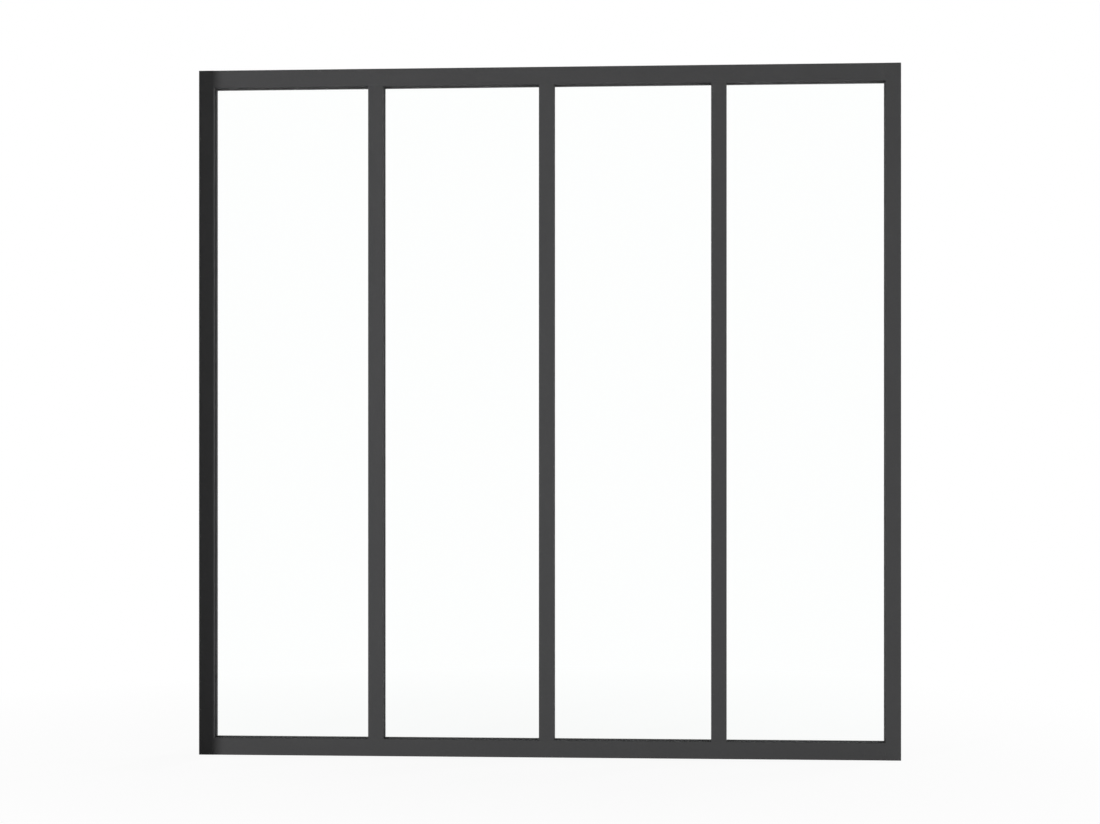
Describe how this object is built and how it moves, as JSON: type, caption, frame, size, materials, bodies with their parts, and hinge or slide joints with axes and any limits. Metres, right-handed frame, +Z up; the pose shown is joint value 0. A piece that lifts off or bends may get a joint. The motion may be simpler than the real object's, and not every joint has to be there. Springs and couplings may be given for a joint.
{
  "type": "glass partition",
  "caption": "Fixed interior glass partition: slim black metal frame of stiles, rails and mullions round tall clear panes held by gaskets and snap-in beads.",
  "frame": {"origin": "centre of the sill face, at mid width and mid depth of the bottom rail's under side", "axes": "+X to the right as seen from the front, +Y towards the back, where the beads are, +Z up"},
  "size_m": [1.23, 0.035, 1.208],
  "materials": {
    "frame_paint": "satin",
    "glass": "polished",
    "gasket_rubber": "matte",
    "packer_plastic": "matte",
    "screw_steel": "satin"
  },
  "bodies": {
    "root": {"back_gasket_1": "gasket_rubber", "back_gasket_2": "gasket_rubber", "back_gasket_3": "gasket_rubber", "back_gasket_4": "gasket_rubber", "bead_1_bottom": "frame_paint", "bead_1_left": "frame_paint", "bead_1_right": "frame_paint", "bead_1_top": "frame_paint", "bead_2_bottom": "frame_paint", "bead_2_left": "frame_paint", "bead_2_right": "frame_paint", "bead_2_top": "frame_paint", "bead_3_bottom": "frame_paint", "bead_3_left": "frame_paint", "bead_3_right": "frame_paint", "bead_3_top": "frame_paint", "bead_4_bottom": "frame_paint", "bead_4_left": "frame_paint", "bead_4_right": "frame_paint", "bead_4_top": "frame_paint", "bottom_rail": "frame_paint", "front_gasket_1": "gasket_rubber", "front_gasket_2": "gasket_rubber", "front_gasket_3": "gasket_rubber", "front_gasket_4": "gasket_rubber", "glass_pane_1": "glass", "glass_pane_2": "glass", "glass_pane_3": "glass", "glass_pane_4": "glass", "left_stile": "frame_paint", "mullion_1": "frame_paint", "mullion_2": "frame_paint", "mullion_3": "frame_paint", "right_stile": "frame_paint", "setting_blocks_1": "packer_plastic", "setting_blocks_2": "packer_plastic", "setting_blocks_3": "packer_plastic", "setting_blocks_4": "packer_plastic", "top_rail": "frame_paint"}
  },
  "joints": []
}
